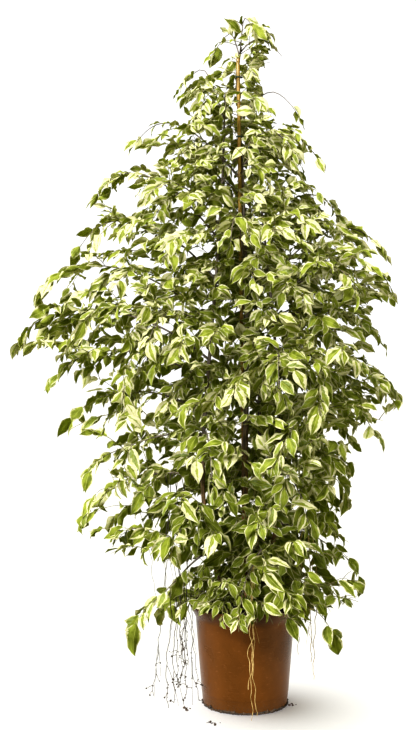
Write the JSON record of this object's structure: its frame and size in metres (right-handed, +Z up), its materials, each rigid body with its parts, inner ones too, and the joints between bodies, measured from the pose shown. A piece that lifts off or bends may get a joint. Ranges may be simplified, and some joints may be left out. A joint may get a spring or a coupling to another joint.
{
  "type": "potted weeping fig",
  "caption": "Weeping fig with cream-edged leaves on slender stems, tied to a bamboo cane in a glossy brown pot of soil",
  "frame": {"origin": "the middle of the pot's flat base, on the floor", "axes": "+Z up along the cane and stems; +X to the plant's right as seen from the front; -Y towards the front, where the picture was taken"},
  "size_m": [1.08, 0.8337, 1.8496],
  "materials": {
    "pot": "glossy brown plastic",
    "soil": "loose dark potting mix",
    "bamboo": "golden tan bamboo with nodes",
    "tie": "dark green plastic tie",
    "bark": "brown to grey bark",
    "leaf": "glossy green leaf with a cream edge"
  },
  "bodies": {
    "root": {"pot": "pot", "soil": "soil", "bamboo_cane": "bamboo", "tie_1": "tie", "tie_2": "tie", "stem_centre": "bark", "stem_left": "bark", "stem_right": "bark", "stem_back": "bark", "branch_01": "leaf", "branch_02": "leaf", "branch_03": "leaf", "branch_04": "leaf", "branch_05": "leaf", "branch_06": "leaf", "branch_07": "leaf", "branch_08": "leaf", "branch_09": "leaf", "branch_10": "leaf", "branch_11": "leaf", "branch_12": "leaf", "branch_13": "leaf", "branch_14": "leaf", "branch_15": "leaf", "branch_16": "leaf", "branch_17": "leaf", "branch_18": "leaf", "branch_19": "leaf", "branch_20": "leaf", "branch_21": "leaf", "branch_22": "leaf", "branch_23": "leaf", "branch_24": "leaf", "branch_25": "leaf", "branch_26": "leaf", "branch_27": "leaf", "branch_28": "leaf", "branch_29": "leaf", "branch_30": "leaf", "branch_31": "leaf", "branch_32": "leaf", "branch_33": "leaf", "branch_34": "leaf", "branch_35": "leaf", "branch_36": "leaf", "branch_37": "leaf", "branch_38": "leaf", "branch_39": "leaf", "branch_40": "leaf", "branch_41": "leaf", "branch_42": "leaf", "branch_43": "leaf", "branch_44": "leaf", "branch_45": "leaf", "branch_46": "leaf", "branch_47": "leaf", "branch_48": "leaf"}
  },
  "joints": []
}
